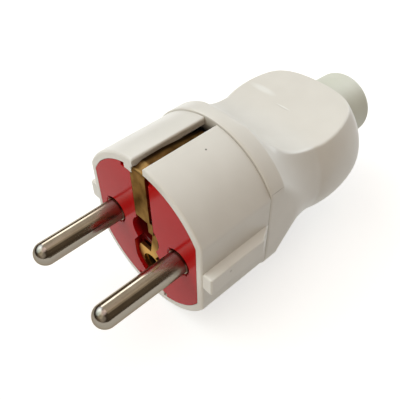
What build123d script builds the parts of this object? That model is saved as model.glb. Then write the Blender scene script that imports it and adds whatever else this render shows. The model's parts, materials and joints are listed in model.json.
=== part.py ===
from build123d import *
import os
from math import atan2, cos, sin, sqrt

# A two-pole rewirable plug with earth contacts, lying slot upwards.
# It is modelled about its own axis: the contact face is at Y = 0, the pins point along -Y,
# the cable leaves along +Y, and Z runs up through the upper earth slot.
# Every piece is then moved so that the origin is the middle of the box's lowest face.

# Contact pins
pin_dia = 4.8
pin_reach = 19.0
pin_spacing = 19.0
pin_root_dia = 5.2
pin_head_dia = 6.6
pin_head_length = 12.0
pin_head_chamfer = 0.3
ear_reach = 0.9
ear_width = 1.5
ear_thickness = 1.3
ear_depth = 0.8
ear_angle = 135.0
wire_bore = 2.8
wire_bore_depth = 7.5

# Front shell
shell_dia = 36.5
shell_flats = 32.0
shell_depth = 17.6
shell_wall = 1.6
flat_wall = 1.4
rim_round = 0.5
slot_width = 3.0
slot_round = 0.45
rib_width = 4.2
rib_across = 36.4
rib_length = 14.0
rib_round = 0.3
crease_round = 1.5
ledge_width = 1.2
ledge_thickness = 1.4
cheek_near = 1.9
cheek_far = 4.0
cheek_height = 1.6
cheek_depth = 3.0
leg_bridge = 1.5

# Pin carrier
carrier_depth = 11.0
carrier_wall = 5.0
pin_hole_bevel = 0.4
fit_gap = 0.08
strap_gap = 0.9
key_inset = 1.75
key_gap = 1.0
recess_dia = 7.9
recess_depth = 7.0
pocket_neck = 2.6
pocket_half_width = 4.25
pocket_top = -5.0
pocket_centre = -8.4
arm_width = 3.6
arm_thickness = 2.4
saddle_length = 7.0
saddle_gap = 0.4

# Earth strap
strap_width = 3.6
strap_face_left = 2.35
strap_thickness = 0.8
strap_bend = 0.1
crest_depth = 1.95
leg_depth = 1.2
leg_fall = 0.9
bow_start = 2.4
bow_end = 7.0
dip_setback = 1.4
dip_end_setback = 0.4
dip_rise = 0.7
leg_inset = 3.4
strap_end = 4.6
bridge_inner = 1.15
bridge_outer = 2.6
bridge_end = 1.6
bridge_lap = 0.5
plate_shoulder = -6.0
plate_notch_depth = 1.5
plate_notch_top = -5.0
plate_notch_foot = -7.3
earth_leg_length = 15.0
earth_tab_setback = 0.8
earth_tab_drop = 9.0
earth_offset = 10.0
earth_hole_dia = 5.3

# Earth pin clip
clip_bore = 4.9
clip_wall = 0.7
clip_length = 8.0
clip_slit = 0.8
clip_slit_turn = 45.0
clip_ring = 3.0

# Screws
small_screw_dia = 3.0
small_head_dia = 5.0
small_head_height = 1.8
centre_screw_dia = 4.0
centre_head_dia = 7.0
centre_head_height = 2.6
centre_screw_tip = 0.5
screw_slot_width = 0.8
screw_slot_depth = 0.9
screw_head_chamfer = 0.3
screw_tip_chamfer = 0.4
thread_gap = 0.05
saddle_washer_side = 6.0
saddle_washer_thickness = 1.0
earth_nut_side = 5.5
earth_nut_thickness = 2.0
nut_side = 7.0
nut_thickness = 3.2

# Handle
flange_overhang = 0.35
flange_end = 21.4
neck_dia = 30.7
neck_start = 33.0
neck_end = 35.0
bulb_dia = 32.5
bulb_middle = 41.5
handle_end = 52.0
handle_end_dia = 27.8
handle_end_round = 5.8
handle_end_wall = 4.0
handle_wall = 2.0
scoop_start = 38.0
scoop_height = 9.3
scoop_end_height = 11.25
spigot_length = 4.0
spigot_wall = 1.5
boss_side = 10.4
boss_gap = 0.8
boss_length = 6.8
boss_web = 3.0
nut_setback = 2.5

# Cord clamp and cable sleeve
cord_dia = 8.0
clamp_split = -0.5
clamp_thickness = 2.2
clamp_arch = 1.8
clamp_width = 5.0
clamp_screw_reach = 5.6
sleeve_end = 64.2
sleeve_dia = 16.8
sleeve_tip_dia = 15.6
sleeve_bore = 8.6
sleeve_round = 1.6
sleeve_collar_length = 2.0

# Sizes worked out from those above
mid_y = (sleeve_end - pin_reach) / 2
pin_x = pin_spacing / 2
pin_r = pin_dia / 2
root_r = pin_root_dia / 2
head_r = pin_head_dia / 2
shell_r = shell_dia / 2
flat_x = shell_flats / 2
inner_r = shell_r - shell_wall
inner_flat = flat_x - flat_wall
handle_r = shell_r + flange_overhang
handle_dia = 2 * handle_r
strap_half = strap_width / 2
key_seat = inner_r - key_inset
leg_seat = inner_r - leg_inset
channel_right = strap_half + strap_gap
recess_r = recess_dia / 2
leg_outer = leg_seat + strap_thickness
tab_start = shell_depth + earth_tab_setback
tab_end = tab_start + strap_thickness
clip_r = clip_bore / 2 + clip_wall
clip_room = clip_r + fit_gap
plate_back = 2 * strap_thickness
screw_bore = centre_screw_dia / 2 + 2 * fit_gap
room_r = neck_dia / 2 - handle_wall - 2 * fit_gap
scoop_tilt = atan2(scoop_end_height - scoop_height, handle_end - scoop_start)
scoop_run = scoop_start - flange_end
scoop_rise = handle_r - scoop_height
lip_over_floor = scoop_run * sin(scoop_tilt) + scoop_rise * cos(scoop_tilt)
sweep_r = (scoop_run ** 2 + scoop_rise ** 2) / (2 * lip_over_floor)
scoop_low = scoop_height - sweep_r * (1 - cos(scoop_tilt))
arm_low = handle_wall + 2 * fit_gap - scoop_low
clamp_half = sqrt(room_r ** 2 - arm_low ** 2)
clamp_shoulder = clamp_split + clamp_thickness
boss_start = tab_end + saddle_washer_thickness + small_head_height + boss_gap
boss_end = boss_start + boss_length
nut_start = boss_start + nut_setback
nut_end = nut_start + nut_thickness
centre_screw_length = nut_end + centre_screw_tip - recess_depth
saddle_start = boss_end + saddle_gap
saddle_end = saddle_start + saddle_length
saddle_middle = (saddle_start + saddle_end) / 2
end_wall_start = handle_end - handle_end_wall


def prism(outline, start, end):
    """Carries an outline drawn in X and Z along Y from start to end."""
    return extrude(Plane.XZ.offset(-start) * outline, amount=start - end)


def span(x_low, x_high, z_low, z_high):
    """A rectangle between two X and two Z values."""
    return Pos((x_low + x_high) / 2, (z_low + z_high) / 2) * Rectangle(x_high - x_low, z_high - z_low)


def flatted_disc(radius, half_flat):
    """A disc with two parallel side flats."""
    return Circle(radius) & Rectangle(2 * half_flat, 2 * radius)


def half_turn(piece):
    """The same piece on the opposite side of the axis."""
    return piece.rotate(Axis.Y, 180)


def slotted_screw(head_dia, head_height, shank_dia, length):
    """A cheese-head screw along Z: its head stands on Z = 0 and its shank hangs below."""
    head = extrude(Circle(head_dia / 2), head_height)
    head = chamfer(head.edges().group_by(Axis.Z)[-1], screw_head_chamfer)
    slot = Pos(0, 0, head_height) * Box(head_dia, screw_slot_width, 2 * screw_slot_depth)
    shank = extrude(Circle(shank_dia / 2 - thread_gap), -length)
    shank = chamfer(shank.edges().group_by(Axis.Z)[0], screw_tip_chamfer)
    return head - slot + shank


def slot_space():
    """The upper earth slot, with rounded lips where it opens in the shell's outside."""
    half = slot_width / 2
    lip = half + slot_round
    lip_height = sqrt(shell_r ** 2 - lip ** 2)
    wall_top = lip_height - slot_round
    outline = [
        Polyline((-half, wall_top), (-half, leg_seat), (half, leg_seat), (half, wall_top)),
        TangentArc((half, wall_top), (lip, lip_height), tangent=(0, 1)),
        Polyline((lip, lip_height), (lip, handle_r), (-lip, handle_r), (-lip, lip_height)),
        TangentArc((-half, wall_top), (-lip, lip_height), tangent=(0, 1)),
    ]
    return prism(make_face(outline), 0, shell_depth)


def guide_rib():
    """The right-hand guide rib, with rounded edges and a ramp behind."""
    rib_x = rib_across / 2
    ramp = Polyline(
        (inner_flat, rim_round / 2),
        (rib_x - rim_round / 2, rim_round / 2),
        (rib_x, rim_round),
        (rib_x, rib_length),
        (flat_x, shell_depth),
        (inner_flat, shell_depth),
        close=True,
    )
    rib = extrude(make_face(ramp), rib_width / 2, both=True)
    sides = rib.faces().sort_by(Axis.Z)
    rims = sides[0].edges() + sides[-1].edges()
    return fillet([rim for rim in rims if rim.center().X > flat_x], rib_round)


def front_shell():
    """The white collar: flats and guide ribs outside, slots for the earth legs, a ledge inside."""
    outline = flatted_disc(shell_r, flat_x)
    body = prism(fillet(outline.vertices(), crease_round), 0, shell_depth)
    body = fillet(body.faces().sort_by(Axis.Y)[0].edges(), rim_round)
    rib = guide_rib()
    opening = flatted_disc(inner_r, inner_flat)
    ledge_hole = flatted_disc(inner_r - ledge_width, inner_flat - ledge_width)
    ledge = prism(opening - ledge_hole, carrier_depth, carrier_depth + ledge_thickness)
    cheek_low = inner_r - cheek_height
    cheek = prism(span(-cheek_far, -cheek_near, cheek_low, inner_r + shell_wall / 4), 0, cheek_depth)
    leg_room = strap_half + 2 * fit_gap
    shell = body + rib + half_turn(rib) - prism(opening, 0, shell_depth) + ledge
    hoop_low = leg_seat - fit_gap - leg_bridge
    hoop_line = span(-cheek_far, cheek_far, hoop_low, inner_r + shell_wall / 4)
    hoop = prism(hoop_line, carrier_depth, carrier_depth + ledge_thickness)
    leg_way = prism(span(-leg_room, leg_room, leg_seat - fit_gap, inner_r), carrier_depth, shell_depth)
    for rise in (cheek, hoop):
        shell = shell + rise + half_turn(rise)
    for cut in (slot_space(), leg_way):
        shell = shell - cut - half_turn(cut)
    return shell


def earth_pocket():
    """Outline of the opening in the face round the earth-pin hole."""
    shoulders = Polyline(
        (-pocket_neck, -pocket_neck),
        (-pocket_half_width, pocket_top),
        (-pocket_half_width, pocket_centre),
        (pocket_half_width, pocket_centre),
        (pocket_half_width, pocket_top),
        (pocket_neck, -pocket_neck),
        close=True,
    )
    return make_face(shoulders) + Pos(0, pocket_centre) * Circle(pocket_half_width)


def pin_ear(reach, width):
    """A pointed lug on a pin's root, aimed up and to the left."""
    lug = Polyline(
        (0, -width / 2),
        (pin_r, -width / 2),
        (pin_r + reach, 0),
        (pin_r, width / 2),
        (0, width / 2),
        close=True,
    )
    return Rot(0, 0, ear_angle) * make_face(lug)


def pin_ears(reach, width):
    """The two opposite lugs of a pin."""
    ear = pin_ear(reach, width)
    return ear + Rot(0, 0, 180) * ear


def pin_carrier():
    """The red insert: holds the pins and the strap, and carries the cord clamp on two rear arms."""
    body = prism(flatted_disc(inner_r - fit_gap, inner_flat - fit_gap), 0, carrier_depth)
    keyway = prism(span(-cheek_far - key_gap, cheek_far, key_seat, shell_r), 0, carrier_depth)
    face_left = -strap_face_left - fit_gap
    leg_side = strap_half + fit_gap
    upper_channel = prism(span(face_left, channel_right, 0, shell_r), 0, strap_thickness)
    lower_channel = prism(span(-leg_side, leg_side, -shell_r, pocket_centre), 0, plate_back + fit_gap)
    recess = prism(Circle(recess_r), 0, recess_depth)
    screw_hole = prism(Circle(screw_bore), 0, carrier_depth)
    pocket = prism(earth_pocket(), 0, plate_back + fit_gap)
    clip_circle = Pos(0, -earth_offset) * Circle(clip_room)
    clip_way = span(-clip_room, clip_room, -earth_offset, pocket_top)
    well = prism(clip_circle + clip_way, 0, carrier_depth)
    keyways = (keyway, half_turn(keyway))
    channels = (upper_channel, lower_channel)
    for cut in (*keyways, *channels, recess, screw_hole, pocket, well):
        body = body - cut
    notch_floor = ear_depth + ear_thickness
    for x in (-pin_x, pin_x):
        hole = Pos(x, 0) * Circle(root_r + fit_gap)
        seat = Pos(x, 0) * Circle(head_r + fit_gap)
        notches = Pos(x, 0) * pin_ears(ear_reach + fit_gap, ear_width + 2 * fit_gap)
        body = body - prism(hole, 0, carrier_depth) - prism(seat, carrier_wall, carrier_depth)
        bevel = Rot(90, 0, 0) * Cone(root_r + fit_gap, root_r + fit_gap + pin_hole_bevel, pin_hole_bevel)
        body = body - prism(notches, 0, notch_floor) - Pos(x, pin_hole_bevel / 2, 0) * bevel
    arm_middle = clamp_half - arm_width / 2
    for x in (-arm_middle, arm_middle):
        arm = span(x - arm_width / 2, x + arm_width / 2, arm_low, arm_low + arm_thickness)
        body = body + prism(arm, carrier_depth, saddle_end)
    saddle = span(-clamp_half, clamp_half, arm_low, clamp_split) - Circle(cord_dia / 2)
    body = body + prism(saddle, saddle_start, saddle_end)
    for x in clamp_screw_places():
        thread = extrude(Circle(small_screw_dia / 2), -clamp_screw_reach)
        body = body - Pos(x, saddle_middle, clamp_split) * thread
    return body


def clamp_screw_places():
    """X of the two cord clamp screws."""
    place = clamp_half - small_head_dia / 2
    return (-place, place)


def contact_pin(x):
    """One turned pin with a round tip, two lugs and a terminal head bored for the wire."""
    head_end = carrier_wall + pin_head_length
    tip_start = (pin_r, pin_r - pin_reach)
    tip = (0, -pin_reach)
    outline = [
        TangentArc(tip_start, tip, tangent=(0, -1)),
        Polyline(
            tip_start,
            (pin_r, 0),
            (root_r, 0),
            (root_r, carrier_wall),
            (head_r, carrier_wall),
            (head_r, head_end - pin_head_chamfer),
            (head_r - pin_head_chamfer, head_end),
            (0, head_end),
            tip,
        ),
    ]
    turned = revolve(make_face(outline), Axis.Y)
    bore = prism(Circle(wire_bore / 2), head_end - wire_bore_depth, head_end)
    thread = Pos(0, terminal_screw_y(), 0) * extrude(Circle(small_screw_dia / 2), pin_head_dia)
    ears = prism(pin_ears(ear_reach, ear_width), ear_depth, ear_depth + ear_thickness)
    return Pos(x, 0, 0) * (turned + ears - bore - thread)


def terminal_screw_y():
    """Place of the terminal screws along the axis, behind the carrier."""
    return (carrier_depth + carrier_wall + pin_head_length) / 2


def terminal_screw(x):
    """The screw that presses the wire in a pin's head."""
    standing = head_r + small_head_height / 2
    screw = slotted_screw(small_head_dia, small_head_height, small_screw_dia, standing)
    return Pos(x, terminal_screw_y(), standing) * screw


def spring_leg(path, face_back):
    """A strip along a path, drawn in behind the face so that it stands free in its slot."""
    strip = extrude(Plane.YZ * trace(path, strap_thickness), strap_half, both=True)
    leg_half = slot_width / 2 - fit_gap
    for x in (-strap_width - leg_half, leg_half):
        side = span(x, x + strap_width, -shell_r, shell_r)
        strip = strip - prism(side, face_back, shell_depth)
    return strip


def earth_strap():
    """One bent brass strip: rear tab, upper leg, face, bridge beside the screw, earth plate, lower leg."""
    mid_face = strap_thickness / 2
    mid_tab = leg_seat + strap_thickness / 2
    mid_bow = shell_r - leg_depth - strap_thickness / 2
    mid_crest = shell_r - crest_depth - strap_thickness / 2
    mid_plate = plate_back - strap_thickness / 2
    tab_y = (tab_start + tab_end) / 2
    tab_low = leg_outer - earth_tab_drop
    bend = strap_bend + strap_thickness / 2
    face_foot = strap_end - bridge_lap
    upper = FilletPolyline(
        (tab_y, tab_low),
        (tab_y, mid_tab),
        (shell_depth - dip_end_setback, mid_tab + dip_rise),
        (shell_depth - dip_setback, mid_bow - leg_fall),
        (bow_end, mid_bow),
        (bow_start, mid_bow),
        (mid_face, mid_crest),
        (mid_face, face_foot),
        radius=bend,
    )
    lower = FilletPolyline(
        (mid_plate, pocket_centre),
        (mid_plate, -mid_crest),
        (bow_start + strap_thickness, -mid_bow),
        (bow_end, -mid_bow),
        (earth_leg_length, leg_fall - mid_bow),
        radius=bend,
    )
    legs = [spring_leg(upper, strap_thickness), spring_leg(lower, plate_back)]
    face_line = span(-strap_face_left, strap_half, face_foot, key_seat)
    bridge_line = span(bridge_inner, bridge_outer, bridge_end, strap_end)
    front = prism(face_line + bridge_line, 0, strap_thickness)
    plate_right = channel_right - fit_gap
    plate_top = sqrt(recess_r ** 2 - channel_right ** 2) - fit_gap
    plate_line = Polyline(
        (bridge_inner, plate_top),
        (plate_right, plate_top),
        (plate_right, pocket_centre),
        (0, pocket_centre),
        (0, plate_shoulder),
        (bridge_inner, 0),
        close=True,
    )
    notch_line = Polyline(
        (plate_right, plate_notch_top),
        (plate_right - plate_notch_depth, plate_notch_foot),
        (pocket_half_width, plate_notch_foot),
        (pocket_half_width, plate_notch_top),
        close=True,
    )
    disc = Pos(0, pocket_centre) * Circle(pocket_half_width - fit_gap)
    disc = disc & span(-pocket_half_width, pocket_half_width, -shell_r, plate_shoulder)
    plate = prism(make_face(plate_line) + disc - make_face(notch_line), strap_thickness, plate_back)
    earth_hole = prism(Pos(0, -earth_offset) * Circle(earth_hole_dia / 2), 0, plate_back)
    screw_line = Pos(0, earth_screw_z()) * Circle(small_screw_dia / 2)
    screw_hole = prism(screw_line, tab_start, tab_end)
    return legs[0] + front + plate + legs[1] - earth_hole - screw_hole


def earth_screw_z():
    """Height of the earth terminal screw on the strap's rear tab."""
    return leg_seat - saddle_washer_side / 2 - strap_thickness


def earth_washer():
    """The square washer that presses the earth wire on the strap's rear tab."""
    square = Rectangle(saddle_washer_side, saddle_washer_side) - Circle(small_screw_dia / 2)
    return Pos(0, 0, earth_screw_z()) * prism(square, tab_end, tab_end + saddle_washer_thickness)


def earth_nut():
    """The square nut in front of the strap's rear tab."""
    square = Rectangle(earth_nut_side, earth_nut_side) - Circle(small_screw_dia / 2)
    return Pos(0, 0, earth_screw_z()) * prism(square, tab_start - earth_nut_thickness, tab_start)


def earth_screw():
    """The earth terminal screw, put in from the rear."""
    seat = tab_end + saddle_washer_thickness
    reach = saddle_washer_thickness + strap_thickness + earth_nut_thickness
    screw = slotted_screw(small_head_dia, small_head_height, small_screw_dia, reach)
    return Pos(0, seat, earth_screw_z()) * Rot(-90, 0, 0) * screw


def earth_clip():
    """The sprung tube behind the earth hole: a whole ring in front, four fingers behind."""
    end = plate_back + clip_length
    tube = prism(Circle(clip_r) - Circle(clip_bore / 2), plate_back, end)
    for angle in (clip_slit_turn, clip_slit_turn + 90):
        slit = prism(Rot(0, 0, angle) * Rectangle(clip_slit, 3 * clip_r), plate_back + clip_ring, end)
        tube = tube - slit
    return Pos(0, 0, -earth_offset) * tube


def centre_screw():
    """The long screw through the carrier that draws the handle up to the shell."""
    screw = slotted_screw(centre_head_dia, centre_head_height, centre_screw_dia, centre_screw_length)
    return Pos(0, recess_depth, 0) * Rot(90, 0, 0) * screw


def centre_nut():
    """The square nut held in the handle's boss."""
    square = Rectangle(nut_side, nut_side) - Circle(centre_screw_dia / 2)
    return prism(square, nut_start, nut_end)


def scoop_space(inset):
    """The space over the upper scoop, grown by a wall: a sweep from the flange, then a rising floor."""
    lip = (flange_end, handle_r)
    floor_start = (scoop_start, scoop_height)
    along = (-cos(scoop_tilt), -sin(scoop_tilt))
    far = handle_dia
    floor_end = (scoop_start - far * along[0], scoop_height - far * along[1])
    outline = [
        TangentArc(floor_start, lip, tangent=along),
        Polyline(lip, (flange_end, far), (floor_end[0], far), floor_end, floor_start),
    ]
    return extrude(Plane.YZ * offset(make_face(outline), inset), handle_dia, both=True)


def hood_form(inset):
    """The handle's form drawn in by a wall: flange, hollow taper, neck and bulb, with two scoops."""
    flange = (handle_r - inset, flange_end)
    neck_front = (neck_dia / 2 - inset, neck_start)
    neck_rear = (neck_dia / 2 - inset, neck_end)
    bulb_crest = (bulb_dia / 2 - inset, bulb_middle)
    rear_edge = (handle_end_dia / 2 - inset, handle_end)
    outline = [
        Polyline((0, handle_end), (0, shell_depth), (handle_r - inset, shell_depth), flange),
        TangentArc(neck_front, flange, tangent=(0, -1)),
        Line(neck_front, neck_rear),
        ThreePointArc(neck_rear, bulb_crest, rear_edge),
        Line(rear_edge, (0, handle_end)),
    ]
    form = revolve(make_face(outline), Axis.Y)
    form = fillet(form.faces().sort_by(Axis.Y)[-1].edges(), handle_end_round)
    form = form & prism(Rectangle(2 * (flat_x - inset), handle_dia), shell_depth, handle_end)
    space = scoop_space(inset)
    return form - space - half_turn(space)


def rear_handle():
    """The white hood: hollow, with a spigot in the shell, a nut boss and a hole for the cable sleeve."""
    cavity = hood_form(handle_wall) & prism(Circle(handle_r), shell_depth, end_wall_start)
    hood = hood_form(0) - cavity
    spigot_line = flatted_disc(inner_r - 2 * fit_gap, inner_flat - 2 * fit_gap)
    spigot_hole = flatted_disc(inner_r - spigot_wall, inner_flat - spigot_wall)
    spigot = prism(spigot_line - spigot_hole, shell_depth - spigot_length, shell_depth)
    spigot = spigot - prism(span(-cheek_near, cheek_near, -handle_r, handle_r), 0, shell_depth)
    root_line = flatted_disc(handle_r - handle_wall / 2, flat_x - handle_wall / 2)
    root = prism(root_line - spigot_hole, shell_depth, shell_depth + spigot_wall)
    boss = prism(Rectangle(boss_side, boss_side), boss_start, boss_end)
    web_line = Rectangle(boss_web, handle_dia)
    web = prism(web_line, boss_start, boss_end) & hood_form(handle_wall / 2)
    room = nut_side / 2 + fit_gap
    nut_line = span(-room, boss_side, -room, room)
    nut_way = prism(nut_line, nut_start - fit_gap, nut_end + fit_gap)
    screw_hole = prism(Circle(screw_bore), boss_start, boss_end)
    sleeve_hole = prism(Circle(sleeve_dia / 2 + fit_gap), end_wall_start, handle_end)
    hood = hood + root + spigot + boss + web
    head_end = carrier_wall + pin_head_length + fit_gap
    for x in (-pin_x, pin_x):
        head_room = Pos(x, 0) * Circle(head_r + 2 * fit_gap)
        hood = hood - prism(head_room, shell_depth - spigot_length, head_end)
    return hood - nut_way - screw_hole - sleeve_hole


def cord_clamp():
    """The arched bar over the cord."""
    arch = span(-clamp_half, clamp_half, clamp_split, clamp_shoulder) + Circle(cord_dia / 2 + clamp_arch)
    arch = (arch & span(-clamp_half, clamp_half, clamp_split, handle_r)) - Circle(cord_dia / 2)
    bar = prism(arch, saddle_middle - clamp_width / 2, saddle_middle + clamp_width / 2)
    for x in clamp_screw_places():
        hole = extrude(Circle(small_screw_dia / 2 + fit_gap), clamp_thickness)
        bar = bar - Pos(x, saddle_middle, clamp_split) * hole
    return bar


def clamp_screw(x):
    """One of the two screws of the cord clamp."""
    reach = clamp_shoulder - clamp_split + clamp_screw_reach - fit_gap
    screw = slotted_screw(small_head_dia, small_head_height, small_screw_dia, reach)
    return Pos(x, saddle_middle, clamp_shoulder) * screw


def cable_sleeve():
    """The soft sleeve at the cable's way out, with a collar behind the handle's end wall."""
    collar_start = end_wall_start - sleeve_collar_length
    body_line = Polyline(
        (0, end_wall_start),
        (sleeve_dia / 2, end_wall_start),
        (sleeve_dia / 2, handle_end),
        (sleeve_tip_dia / 2, sleeve_end),
        (0, sleeve_end),
        close=True,
    )
    body = revolve(make_face(body_line), Axis.Y)
    body = fillet(body.faces().sort_by(Axis.Y)[-1].edges(), sleeve_round)
    collar = hood_form(handle_wall + 2 * fit_gap) & prism(Circle(handle_r), collar_start, end_wall_start)
    return body + collar - prism(Circle(sleeve_bore / 2), collar_start, sleeve_end)


left_clamp_x, right_clamp_x = clamp_screw_places()
nodes = {
    "front_shell": front_shell(),
    "pin_carrier": pin_carrier(),
    "live_pin": contact_pin(-pin_x),
    "neutral_pin": contact_pin(pin_x),
    "live_terminal_screw": terminal_screw(-pin_x),
    "neutral_terminal_screw": terminal_screw(pin_x),
    "earth_strap": earth_strap(),
    "earth_pin_clip": earth_clip(),
    "earth_washer": earth_washer(),
    "earth_terminal_nut": earth_nut(),
    "earth_terminal_screw": earth_screw(),
    "centre_screw": centre_screw(),
    "centre_nut": centre_nut(),
    "rear_handle": rear_handle(),
    "cord_clamp": cord_clamp(),
    "left_clamp_screw": clamp_screw(left_clamp_x),
    "right_clamp_screw": clamp_screw(right_clamp_x),
    "cable_sleeve": cable_sleeve(),
}

os.makedirs("parts", exist_ok=True)
for name, piece in nodes.items():
    export_step(Pos(0, -mid_y, handle_r) * piece, "parts/" + name + ".step")
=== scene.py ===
import json
import math

import bpy
import numpy as np
from mathutils import Matrix, Vector


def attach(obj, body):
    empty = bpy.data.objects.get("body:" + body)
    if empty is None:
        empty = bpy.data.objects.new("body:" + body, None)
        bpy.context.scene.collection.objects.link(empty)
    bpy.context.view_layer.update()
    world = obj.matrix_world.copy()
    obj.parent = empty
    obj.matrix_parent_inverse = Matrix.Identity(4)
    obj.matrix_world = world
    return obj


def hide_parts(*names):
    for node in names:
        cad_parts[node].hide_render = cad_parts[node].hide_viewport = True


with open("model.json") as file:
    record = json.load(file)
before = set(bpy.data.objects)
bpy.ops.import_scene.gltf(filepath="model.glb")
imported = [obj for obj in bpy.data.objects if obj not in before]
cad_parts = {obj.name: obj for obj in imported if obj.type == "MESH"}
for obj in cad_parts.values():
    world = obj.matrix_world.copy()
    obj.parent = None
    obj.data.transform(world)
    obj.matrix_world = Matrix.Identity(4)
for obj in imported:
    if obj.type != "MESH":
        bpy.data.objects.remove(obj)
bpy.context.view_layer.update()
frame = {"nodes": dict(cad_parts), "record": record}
nodes = frame["nodes"]

MM = 0.001

# The plug's own frame: its contact face and its axis, as the part's frame sees them.
FACE_PLACE = -22.6
AXIS_HEIGHT = 18.6

# The camera stands before the pins, to the right and above.
CAMERA_PLACE = (57.99, -61.07, 97.16)
CAMERA_AIM = (0.52, -8.50, 18.6)
CAMERA_ROLL = -1.18
CAMERA_LENS = 48.10
SENSOR_WIDTH = 36.0

# The handle's hood, measured from the contact face.
SHELL_END = 17.65
FLANGE_RADIUS = 18.6
FLANGE_END = 21.4
FLAT_HALF = 16.0
NECK_RADIUS = 15.35
NECK_START = 33.0
NECK_END = 35.0
BULB_MIDDLE = (-8.111, 41.561)
BULB_ROUND = 24.361
END_ROUND = 5.8
END_ROUND_MIDDLE = (9.86, 46.2)
HOOD_END = 52.0
HOOD_END_WALL = 4.0
SLEEVE_HOLE = 8.48
HOOD_WALL = 2.0
SCOOP_MIDDLE = (35.829, 24.889)
SCOOP_ROUND = 15.740
SCOOP_START = 38.0
SCOOP_HEIGHT = 9.3
SCOOP_RISE = 0.13929
ROOT_RADIUS = 15.15
ROOT_FLAT = 13.1
ROOT_DEPTH = 1.5
EDGE_SOFT = 0.25

# How the hood's forms meet: where the round end takes over from the bulb, the rounding along the side
# flats, and the rounding at the scoop's edge with the places where its broad parts rise and fall.
END_REACH_START = 1.45
FLAT_SOFT = 0.5
CREASE_NARROW = 0.35
CREASE_TOP = 0.8
CREASE_TOP_SIDES = (3.0, 6.5)
CREASE_TOP_END = (22.0, 23.5)
CREASE_BEHIND = 1.4
CREASE_BEHIND_START = (21.5, 22.4)
CREASE_BEHIND_END = (23.2, 25.0)

# How finely the hood's skin is divided.
FLANGE_STEP = 0.6
FLANGE_EDGE_STEPS = np.array([-0.3, -0.12, 0.0, 0.12, 0.3])
GRIP_STEP = 0.4
GRIP_STEPS_END = 46.8
END_TURNS = np.linspace(8, 89, 26)
INNER_ROWS = 30
QUARTER_COLUMNS = 30
GATHERING = 1.6
HALVINGS = 40

# The room: white paper on a brown table, both white to the camera and in mirrors, an even glow, and round
# soft lamps as direction, inner and outer angle, colour. The last four are the window and the ceiling that
# the pins mirror.
SHEET_RADIUS = 900.0
PAPER_EDGE = (140.0, 200.0)
PAPER = (0.52, 0.51, 0.49)
TABLE = (0.20, 0.15, 0.12)
PAPER_WHITE = 0.64
TABLE_WHITE = 0.94
ROOM_GLOW = (0.10, 0.075, 0.05)
ROOM_LAMPS = [
    ((-0.5, -0.5, 0.7), 5.0, 32.0, (1.80, 2.15, 2.20)),
    ((-0.7, -0.25, 0.65), 5.0, 28.0, (1.60, 1.75, 2.00)),
    ((0.0, -0.7, 0.7), 5.0, 32.0, (0.80, 0.75, 0.55)),
    ((0.0, -0.25, 1.0), 5.0, 32.0, (1.10, 0.92, 0.92)),
    ((0.2, -1.0, 0.3), 5.0, 40.0, (0.25, 0.20, 0.15)),
    ((0.5, -0.7, 0.5), 5.0, 32.0, (0.60, 0.55, 0.50)),
    ((0.0, 1.0, 0.5), 5.0, 30.0, (3.10, 3.45, 3.65)),
    ((-0.78, 0.27, 0.57), 3.0, 12.0, (2.60, 2.50, 2.30)),
    ((-0.45, 0.27, 0.85), 6.0, 20.0, (0.38, 0.35, 0.30)),
    ((0.0, 0.27, 0.96), 8.0, 20.0, (0.30, 0.26, 0.21)),
    ((0.35, 0.27, 0.9), 7.0, 14.0, (0.25, 0.21, 0.16)),
]

# Waves per millimetre of the clouds and streaks in the finishes.
PLASTIC_CLOUD = 0.12
PLASTIC_GLOSS = 0.2
METAL_CLOUD = 0.45
METAL_STREAK = 3.0


def node_of(tree, kind, **values):
    """Adds a node and sets its plain properties."""
    node = tree.nodes.new(kind)
    for name, value in values.items():
        setattr(node, name, value)
    return node


def fresh_material(name):
    """An empty node material with a Principled shader; returns the material, its tree and the shader."""
    material = bpy.data.materials.new(name)
    material.use_nodes = True
    tree = material.node_tree
    tree.nodes.clear()
    output = node_of(tree, "ShaderNodeOutputMaterial")
    shader = node_of(tree, "ShaderNodeBsdfPrincipled")
    tree.links.new(shader.outputs["BSDF"], output.inputs["Surface"])
    return material, tree, shader


def millimetres(tree, stretch=(1.0, 1.0, 1.0)):
    """Object coordinates in millimetres, stretched along the axes where a grain runs."""
    place = node_of(tree, "ShaderNodeTexCoord")
    mapping = node_of(tree, "ShaderNodeMapping")
    mapping.inputs["Scale"].default_value = [s / MM for s in stretch]
    tree.links.new(place.outputs["Object"], mapping.inputs["Vector"])
    return mapping.outputs["Vector"]


def noise(tree, place, scale, detail=4.0, roughness=0.55):
    """Noise with this many waves per millimetre."""
    node = node_of(tree, "ShaderNodeTexNoise")
    node.inputs["Scale"].default_value = scale
    node.inputs["Detail"].default_value = detail
    node.inputs["Roughness"].default_value = roughness
    tree.links.new(place, node.inputs["Vector"])
    return node.outputs["Fac"]


def ramp(tree, value, stops):
    """A colour ramp over a value: stops are (place, colour)."""
    node = node_of(tree, "ShaderNodeValToRGB")
    marks = node.color_ramp.elements
    while len(marks) < len(stops):
        marks.new(0.5)
    for mark, (place, colour) in zip(marks, stops):
        mark.position = place
        mark.color = (*colour, 1.0)
    tree.links.new(value, node.inputs["Fac"])
    return node.outputs["Color"]


def spread(tree, value, low, high, start=0.3, end=0.7, smooth=False):
    """Maps a value's range from start to end on to low and high, in a straight or a smooth rise."""
    kind = "SMOOTHSTEP" if smooth else "LINEAR"
    node = node_of(tree, "ShaderNodeMapRange", interpolation_type=kind)
    node.inputs["From Min"].default_value = start
    node.inputs["From Max"].default_value = end
    node.inputs["To Min"].default_value = low
    node.inputs["To Max"].default_value = high
    tree.links.new(value, node.inputs["Value"])
    return node.outputs["Result"]


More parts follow.
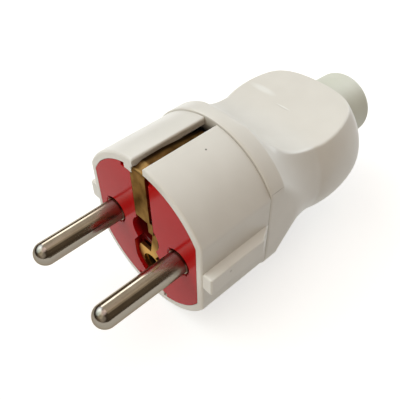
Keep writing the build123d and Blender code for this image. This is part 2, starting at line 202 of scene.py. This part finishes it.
def combine(tree, operation, first, second):
    """Joins two values by a sum, product or the like; the second may be a plain number."""
    node = node_of(tree, "ShaderNodeMath", operation=operation)
    tree.links.new(first, node.inputs[0])
    if isinstance(second, (int, float)):
        node.inputs[1].default_value = second
    else:
        tree.links.new(second, node.inputs[1])
    return node.outputs[0]


def tint(tree, share, under, over):
    """Lays the colour over on the colour under, by a share from 0 to 1."""
    node = node_of(tree, "ShaderNodeMix", data_type="RGBA")
    tree.links.new(share, node.inputs["Factor"])
    tree.links.new(under, node.inputs["A"])
    node.inputs["B"].default_value = (*over, 1.0)
    return node.outputs["Result"]


def bump(tree, shader, height, depth):
    """Bump of this depth in millimetres."""
    node = node_of(tree, "ShaderNodeBump")
    node.inputs["Distance"].default_value = depth * MM
    node.inputs["Strength"].default_value = 1.0
    tree.links.new(height, node.inputs["Height"])
    tree.links.new(node.outputs["Normal"], shader.inputs["Normal"])


def spot(tree, place, middle, half):
    """One at a small mark's middle, falling to nothing at its half lengths along the axes."""
    away = node_of(tree, "ShaderNodeVectorMath", operation="SUBTRACT")
    tree.links.new(place, away.inputs[0])
    away.inputs[1].default_value = (middle[0], middle[1] + FACE_PLACE, middle[2] + AXIS_HEIGHT)
    shape = node_of(tree, "ShaderNodeVectorMath", operation="DIVIDE")
    tree.links.new(away.outputs[0], shape.inputs[0])
    shape.inputs[1].default_value = half
    size = node_of(tree, "ShaderNodeVectorMath", operation="LENGTH")
    tree.links.new(shape.outputs[0], size.inputs[0])
    return spread(tree, size.outputs["Value"], 1.0, 0.0, 0.4, 1.0)


def along(tree, place, axis="Y"):
    """The distance along the plug's axis, from the contact face to the rear, or along another axis."""
    parts = node_of(tree, "ShaderNodeSeparateXYZ")
    tree.links.new(place, parts.inputs[0])
    return combine(tree, "SUBTRACT", parts.outputs[axis], FACE_PLACE if axis == "Y" else 0.0)


def lay_painted_shade_bands(tree, place, colour, painted_shade_bands):
    """Lays painted shade over a colour in bands: each is where it starts and is full along the axis, and
    its colour.
    """
    for start, full, shade_colour in painted_shade_bands:
        share = spread(tree, along(tree, place), 0.0, 1.0, start, full, smooth=True)
        colour = tint(tree, share, colour, shade_colour)
    return colour


def marked(tree, place, colour, marks):
    """Lays small marks over a colour, specks as well as painted highlights, shadows and shade: each is its
    middle, half lengths, share and colour.
    """
    for middle, half, share, laid_colour in marks:
        seen = combine(tree, "MULTIPLY", spot(tree, place, middle, half), share)
        colour = tint(tree, seen, colour, laid_colour)
    return colour


def moulded_plastic(name, pale, deep, gloss_low, gloss_high, shine, marks=(), painted_shade_bands=(), joint=None):
    """A moulded plastic: cloudy colour, uneven gloss, small marks and painted light, painted shade in
    bands along the axis, and a dark joint line.
    """
    material, tree, shader = fresh_material(name)
    place = millimetres(tree)
    cloud = noise(tree, place, PLASTIC_CLOUD, 2.0)
    colour = ramp(tree, cloud, [(0.3, deep), (0.7, pale)])
    colour = lay_painted_shade_bands(tree, place, colour, painted_shade_bands)
    colour = marked(tree, place, colour, marks)
    if joint:
        line, width, laid_colour = joint
        away = combine(tree, "SUBTRACT", along(tree, place), line)
        away = combine(tree, "ABSOLUTE", away, 0.0)
        colour = tint(tree, spread(tree, away, 0.6, 0.0, width * 0.4, width), colour, laid_colour)
    tree.links.new(colour, shader.inputs["Base Color"])
    gloss = spread(tree, noise(tree, place, PLASTIC_GLOSS, 2.0), gloss_low, gloss_high, 0.0, 1.0)
    tree.links.new(gloss, shader.inputs["Roughness"])
    shader.inputs["Specular IOR Level"].default_value = shine
    return material


def worn_metal(name, pale, deep, edge, gloss_low, gloss_high, grain, scratch,
               painted_shade_bands=(), painted_side_shade=None, marks=(), dull=None):
    """A metal with a grain: colour and gloss follow noise, and seen edge-on it takes its edge colour.

    Painted shade lies in bands along it, the painted side shade darkens one side (axis, where it is clear
    and where full, where it starts along the plug's axis, colour), and dull is where it loses its gloss
    (start, full, amount)."""
    material, tree, shader = fresh_material(name)
    shader.inputs["Metallic"].default_value = 1.0
    shader.inputs["Specular Tint"].default_value = (*edge, 1.0)
    place = millimetres(tree)
    lines = millimetres(tree, grain)
    cloud = noise(tree, place, METAL_CLOUD, 5.0)
    colour = ramp(tree, cloud, [(0.32, deep), (0.68, pale)])
    colour = lay_painted_shade_bands(tree, place, colour, painted_shade_bands)
    colour = marked(tree, place, colour, marks)
    if painted_side_shade:
        axis, clear, full, start, laid_colour = painted_side_shade
        side = spread(tree, along(tree, place, axis), 0.0, 1.0, clear, full, smooth=True)
        further = spread(tree, along(tree, place), 0.0, 1.0, start, start + 1.0, smooth=True)
        colour = tint(tree, combine(tree, "MULTIPLY", side, further), colour, laid_colour)
    tree.links.new(colour, shader.inputs["Base Color"])
    streak = noise(tree, lines, METAL_STREAK, 4.0)
    gloss = spread(tree, streak, gloss_low, gloss_high)
    if dull:
        start, full, amount = dull
        further = spread(tree, along(tree, place), 0.0, amount, start, full, smooth=True)
        gloss = combine(tree, "ADD", gloss, further)
    tree.links.new(gloss, shader.inputs["Roughness"])
    bump(tree, shader, streak, scratch)
    return material


# Marks on the white plastic, measured from the contact face and the axis: three specks, a painted
# highlight on the moulding dash with a painted shadow beside it, a painted highlight streak, painted shade
# on the slot's wall and a painted shade line along the crease at the flange's flat.
WHITE_SPECKS_AND_PAINTED_LIGHT = [
    ((4.94, 11.75, 17.58), (0.24, 0.24, 0.24), 1.0, (0.06, 0.05, 0.04)),
    ((18.2, 14.25, 1.6), (0.26, 0.26, 0.26), 1.0, (0.05, 0.04, 0.03)),
    ((18.2, 5.16, 0.86), (0.4, 0.4, 0.4), 0.5, (0.40, 0.36, 0.32)),
    # painted highlight on the moulding dash, and beside it its painted shadow
    ((-0.6, 40.4, 9.63), (2.2, 0.22, 0.5), 0.6, (0.95, 0.95, 0.92)),
    ((-0.6, 40.05, 9.60), (2.2, 0.22, 0.5), 0.4, (0.62, 0.59, 0.54)),
    # painted highlight streak along the moulding line across the scoop
    ((-8.1, 42.15, 9.87), (4.2, 1.1, 1.0), 0.5, (0.93, 0.93, 0.90)),
    # painted shade, with a warm painted bounce off the brass, on the slot's left wall
    ((-1.45, 9.5, 17.2), (0.42, 12.0, 1.7), 0.8, (0.50, 0.41, 0.31)),
    # painted shade line along the crease where the flange meets its flat
    ((16.0, 19.6, 9.49), (0.5, 2.2, 0.14), 0.7, (0.42, 0.38, 0.33)),
]

white_plastic = moulded_plastic(
    "white_plastic", (0.80, 0.77, 0.71), (0.76, 0.73, 0.67), 0.26, 0.36, 0.42, WHITE_SPECKS_AND_PAINTED_LIGHT,
    joint=(17.64, 0.16, (0.42, 0.38, 0.32)))
red_plastic = moulded_plastic(
    "red_plastic", (0.53, 0.009, 0.010), (0.48, 0.007, 0.008), 0.13, 0.18, 0.08,
    # painted shade: the red darkens in the holes and recesses set back behind the face
    painted_shade_bands=[(0.3, 1.8, (0.13, 0.005, 0.004))])
ivory_rubber = moulded_plastic("ivory_rubber", (0.70, 0.70, 0.60), (0.64, 0.64, 0.54), 0.42, 0.55, 0.5)
nickel = worn_metal(
    "nickel", (0.60, 0.55, 0.47), (0.50, 0.45, 0.38), (0.60, 0.55, 0.47), 0.09, 0.17,
    grain=(1.0, 0.03, 1.0), scratch=0.002,
    painted_shade_bands=[
        # painted shade toward the tip, dimming the lamps mirrored in its dome
        (-16.4, -17.8, (0.20, 0.18, 0.15)),
        # painted reflection of the red face on the pins near their roots
        (-8.0, -1.0, (0.34, 0.26, 0.22)),
        # painted shade in the gap round each pin's root and in the notches behind the face
        (-0.4, 0.0, (0.13, 0.06, 0.045)),
    ],
    # painted shade on the pins' lower sides, darkening what they mirror of the floor
    painted_side_shade=("Z", AXIS_HEIGHT + 1.7, AXIS_HEIGHT + 1.0, -25.0, (0.29, 0.26, 0.215)),
    dull=(-8.0, -2.0, 0.16))
brass = worn_metal(
    "brass", (0.29, 0.165, 0.055), (0.145, 0.072, 0.022), (0.65, 0.60, 0.50), 0.28, 0.45,
    grain=(1.0, 0.2, 0.08), scratch=0.003,
    # painted shadow of the slot's left wall over the left side of the strap's leg
    painted_side_shade=("X", -0.1, -1.0, 1.5, (0.04, 0.022, 0.009)),
    # painted pool of light on the earth plate low in the recess
    marks=[((-1.5, 3.0, -7.0), (6.0, 6.0, 6.0), 0.9, (0.72, 0.44, 0.14))])
steel = worn_metal(
    "steel", (0.60, 0.60, 0.58), (0.50, 0.50, 0.49), (0.80, 0.80, 0.80), 0.25, 0.4,
    grain=(1.0, 1.0, 0.1), scratch=0.002)

FINISHES = {
    "white_plastic": white_plastic,
    "red_plastic": red_plastic,
    "ivory_rubber": ivory_rubber,
    "nickel": nickel,
    "brass": brass,
    "steel": steel,
}
for part in frame["record"]["subparts"]:
    piece = nodes[part["node"]]
    piece.data.materials.clear()
    piece.data.materials.append(FINISHES[part["material_slot"]])


def soft_max(first, second, band):
    """The larger of two distances, rounded over a band where they meet."""
    share = np.maximum(band - np.abs(first - second), 0) / band
    return np.maximum(first, second) + share * share * band / 4


def turned_radius(y):
    """The hood's turned form: flange, hollow taper, neck, bulb and round end."""
    taper_rise = FLANGE_RADIUS - NECK_RADIUS
    taper_run = NECK_START - FLANGE_END
    taper_round = (taper_rise ** 2 + taper_run ** 2) / (2 * taper_rise)
    before_neck = np.clip(NECK_START - y, 0, taper_run)
    taper = NECK_RADIUS + taper_round - np.sqrt(taper_round ** 2 - before_neck ** 2)
    bulb = BULB_MIDDLE[0] + np.sqrt(BULB_ROUND ** 2 - (y - BULB_MIDDLE[1]) ** 2)
    end_reach = np.clip(y - END_ROUND_MIDDLE[1], 0, END_ROUND)
    end = END_ROUND_MIDDLE[0] + np.sqrt(END_ROUND ** 2 - end_reach ** 2)
    radius = np.where(y < NECK_END, taper, bulb)
    return np.where(end_reach > END_REACH_START, np.minimum(radius, end), radius)


def scoop_floor(y):
    """Height of the scoop's floor over the axis, and its slope: a sweep down, then a slow rise."""
    reach = np.clip(y - SCOOP_MIDDLE[0], FLANGE_END - SCOOP_MIDDLE[0], SCOOP_START - SCOOP_MIDDLE[0])
    drop = np.sqrt(SCOOP_ROUND ** 2 - reach ** 2)
    sweep = SCOOP_MIDDLE[1] - drop
    floor = SCOOP_HEIGHT + SCOOP_RISE * (y - SCOOP_START)
    low = y < SCOOP_START
    before = np.maximum(FLANGE_END - y, 0)
    lip_slope = reach / drop
    height = np.where(low, sweep - before * lip_slope, floor)
    return height, np.where(low, lip_slope, SCOOP_RISE)


def step(value, start, end):
    """Nothing before the start, one after the end, a smooth rise between."""
    share = np.clip((value - start) / (end - start), 0, 1)
    return share * share * (3 - 2 * share)


def crease_band(y, x):
    """Width of the rounding at the scoop's edge: broad on the flange's top and behind the flange, narrow
    down its sides and from the neck on."""
    top = CREASE_TOP * (1 - step(np.abs(x), *CREASE_TOP_SIDES)) * (1 - step(y, *CREASE_TOP_END))
    behind = CREASE_BEHIND * step(y, *CREASE_BEHIND_START) * (1 - step(y, *CREASE_BEHIND_END))
    return CREASE_NARROW + top + behind


def hood_radius(y, turn, inset):
    """Radius of the hood at a place along the axis and a turn about it, drawn in by a wall.

    It is where the largest of three distances is zero: from the turned form, the side flats and the
    scoop floors, each rounded into the next. It is found by halving."""
    radius = turned_radius(y) - inset
    height, slope = scoop_floor(y)
    steep = np.sqrt(1 + slope ** 2)
    low = np.zeros_like(turn)
    high = np.full_like(turn, FLANGE_RADIUS + 1)
    for halving in range(HALVINGS):
        middle = (low + high) / 2
        flat = np.abs(middle * np.cos(turn)) - (FLAT_HALF - inset)
        scoop = (np.abs(middle * np.sin(turn)) - height) / steep + inset
        band = crease_band(y, middle * np.cos(turn))
        out = soft_max(soft_max(middle - radius, flat, FLAT_SOFT), scoop, band)
        low = np.where(out < 0, middle, low)
        high = np.where(out < 0, high, middle)
    return (low + high) / 2


def crease_turns(y):
    """Turns round the axis for each row, four mirrored quarters, gathered at the scoop's edge."""
    height = scoop_floor(y)[0]
    edge = np.arcsin(np.clip(height / turned_radius(y), 0.4, 0.94))[:, None]
    steps = np.linspace(0, 1, QUARTER_COLUMNS + 1)[None, :]
    below = edge * (1 - (1 - steps) ** GATHERING)
    above = edge + (np.pi / 2 - edge) * steps[:, 1:] ** GATHERING
    quarter = np.concatenate([below, above], 1)
    half = np.concatenate([quarter, np.pi - quarter[:, -2::-1]], 1)
    return np.concatenate([half, half[:, 1:-1] + np.pi], 1)


def hood_skin():
    """The handle's hood as one closed surface: a loop of rows, out along the outside, in through the
    sleeve hole and back along the inside, each row a ring round the axis."""
    out_y = np.concatenate([
        np.arange(SHELL_END + EDGE_SOFT, FLANGE_END + FLANGE_EDGE_STEPS[0], FLANGE_STEP),
        FLANGE_END + FLANGE_EDGE_STEPS,
        np.arange(FLANGE_END + FLANGE_STEP, GRIP_STEPS_END, GRIP_STEP),
    ])
    end_y = END_ROUND_MIDDLE[1] + END_ROUND * np.sin(np.radians(END_TURNS))
    hole_y = np.array([HOOD_END, HOOD_END, HOOD_END - EDGE_SOFT, HOOD_END - HOOD_END_WALL])
    hole_r = SLEEVE_HOLE + np.array([EDGE_SOFT * 2, EDGE_SOFT, 0.0, 0.0])
    inner_y = np.linspace(HOOD_END - HOOD_END_WALL, SHELL_END + ROOT_DEPTH, INNER_ROWS)
    root_y = np.array([SHELL_END + ROOT_DEPTH, SHELL_END])
    front_y = SHELL_END + EDGE_SOFT * np.array([0.0, 0.3])
    front_cut = EDGE_SOFT * np.array([1.6, 0.5])

    shown_y = np.concatenate([out_y, end_y])
    shown_turn = crease_turns(shown_y)
    shown_r = hood_radius(shown_y[:, None], shown_turn, 0.0)
    hole_turn = crease_turns(np.full(len(hole_y), HOOD_END))
    hole_ring = np.repeat(hole_r[:, None], hole_turn.shape[1], 1)
    inner_turn = crease_turns(inner_y)
    inner_r = hood_radius(inner_y[:, None], inner_turn, HOOD_WALL)
    root_turn = crease_turns(np.full(len(root_y), SHELL_END))
    root_r = np.minimum(ROOT_RADIUS, ROOT_FLAT / np.maximum(np.abs(np.cos(root_turn)), 1e-6))
    front_turn = crease_turns(front_y)
    front_r = hood_radius(np.full((2, 1), out_y[0]), front_turn, 0.0) - front_cut[:, None]

    y = np.concatenate([shown_y, hole_y, inner_y, root_y, front_y])
    turn = np.concatenate([shown_turn, hole_turn, inner_turn, root_turn, front_turn])
    radius = np.concatenate([shown_r, hole_ring, inner_r, root_r, front_r])
    points = np.stack([
        radius * np.cos(turn),
        np.repeat(y[:, None], turn.shape[1], 1) + FACE_PLACE,
        radius * np.sin(turn) + AXIS_HEIGHT,
    ], 2) * MM
    return closed_rings("handle_hood", points)


def closed_rings(name, points):
    """A mesh from rows of rings: each square joins two neighbours in a ring with the next ring's two,
    and the last ring joins the first."""
    rows, columns = points.shape[:2]
    index = np.arange(rows * columns).reshape(rows, columns)
    beside = np.roll(index, -1, 1)
    after = np.roll(index, -1, 0)
    both = np.roll(beside, -1, 0)
    faces = np.stack([index, after, both, beside], 2).reshape(-1, 4)
    mesh = bpy.data.meshes.new(name)
    mesh.from_pydata(points.reshape(-1, 3).tolist(), [], faces.tolist())
    mesh.polygons.foreach_set("use_smooth", np.ones(len(faces), dtype=bool))
    mesh.update()
    piece = bpy.data.objects.new(name, mesh)
    bpy.context.scene.collection.objects.link(piece)
    return piece


hood = hood_skin()
hood.data.materials.append(white_plastic)
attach(hood, "root")
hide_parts("rear_handle")


def table_sheet():
    """A disc: its radius times the cosine and sine of the turn, flat at the table's height. Paper in the
    middle fades into the table, and a white glow shows to the camera and in mirrors only."""
    turns = np.linspace(0, 2 * np.pi, 97)[:-1]
    rim = np.stack([np.cos(turns), np.sin(turns), np.zeros_like(turns)], 1) * SHEET_RADIUS * MM
    mesh = bpy.data.meshes.new("table_sheet")
    mesh.from_pydata(rim.tolist(), [], [list(range(len(rim)))])
    sheet = bpy.data.objects.new("table_sheet", mesh)
    bpy.context.scene.collection.objects.link(sheet)
    material, tree, shader = fresh_material("table_sheet")
    place = millimetres(tree)
    size = node_of(tree, "ShaderNodeVectorMath", operation="LENGTH")
    tree.links.new(place, size.inputs[0])
    away = spread(tree, size.outputs["Value"], 0.0, 1.0, *PAPER_EDGE, smooth=True)
    colour = ramp(tree, away, [(0.0, PAPER), (1.0, TABLE)])
    tree.links.new(colour, shader.inputs["Base Color"])
    shader.inputs["Roughness"].default_value = 0.9
    path = node_of(tree, "ShaderNodeLightPath")
    shader.inputs["Emission Color"].default_value = (1.0, 1.0, 1.0, 1.0)
    white = spread(tree, away, PAPER_WHITE, TABLE_WHITE, 0.0, 1.0)
    seen = combine(tree, "MAXIMUM", path.outputs["Is Camera Ray"], path.outputs["Is Glossy Ray"])
    seen = combine(tree, "MAXIMUM", seen, path.outputs["Is Transmission Ray"])
    tree.links.new(combine(tree, "MULTIPLY", white, seen), shader.inputs["Emission Strength"])
    mesh.materials.append(material)


def room_light():
    """The room: an even glow and round soft lamps, each full inside its inner angle and fading to nothing
    at its outer angle."""
    world = bpy.data.worlds.new("room")
    bpy.context.scene.world = world
    world.use_nodes = True
    tree = world.node_tree
    tree.nodes.clear()
    place = node_of(tree, "ShaderNodeTexCoord")
    total = node_of(tree, "ShaderNodeCombineXYZ")
    for channel, value in zip(total.inputs, ROOM_GLOW):
        channel.default_value = value
    total = total.outputs[0]
    for direction, inner, outer, colour in ROOM_LAMPS:
        near = node_of(tree, "ShaderNodeVectorMath", operation="DOT_PRODUCT")
        tree.links.new(place.outputs["Generated"], near.inputs[0])
        near.inputs[1].default_value = Vector(direction).normalized()
        edges = math.cos(math.radians(outer)), math.cos(math.radians(inner))
        share = spread(tree, near.outputs["Value"], 0.0, 1.0, *edges, smooth=True)
        glow = node_of(tree, "ShaderNodeVectorMath", operation="SCALE")
        glow.inputs[0].default_value = colour
        tree.links.new(share, glow.inputs["Scale"])
        both = node_of(tree, "ShaderNodeVectorMath", operation="ADD")
        tree.links.new(total, both.inputs[0])
        tree.links.new(glow.outputs[0], both.inputs[1])
        total = both.outputs[0]
    back = node_of(tree, "ShaderNodeBackground")
    tree.links.new(total, back.inputs["Color"])
    output = node_of(tree, "ShaderNodeOutputWorld")
    tree.links.new(back.outputs[0], output.inputs["Surface"])


def photo_camera():
    """The camera: looks from its place at the aim point, rolled a little about that line."""
    place = Vector(CAMERA_PLACE) * MM
    forward = (Vector(CAMERA_AIM) * MM - place).normalized()
    level = forward.cross(Vector((0, 0, 1))).normalized()
    turn = Matrix.Rotation(math.radians(CAMERA_ROLL), 3, -forward)
    right = turn @ level
    up = right.cross(forward)
    data = bpy.data.cameras.new("photo_camera")
    data.sensor_width = SENSOR_WIDTH
    data.lens = CAMERA_LENS
    data.clip_start = MM
    camera = bpy.data.objects.new("photo_camera", data)
    bpy.context.scene.collection.objects.link(camera)
    camera.matrix_world = Matrix.Translation(place) @ Matrix((right, up, -forward)).transposed().to_4x4()
    bpy.context.scene.camera = camera


table_sheet()
room_light()
photo_camera()
bpy.context.scene.view_settings.view_transform = "Standard"
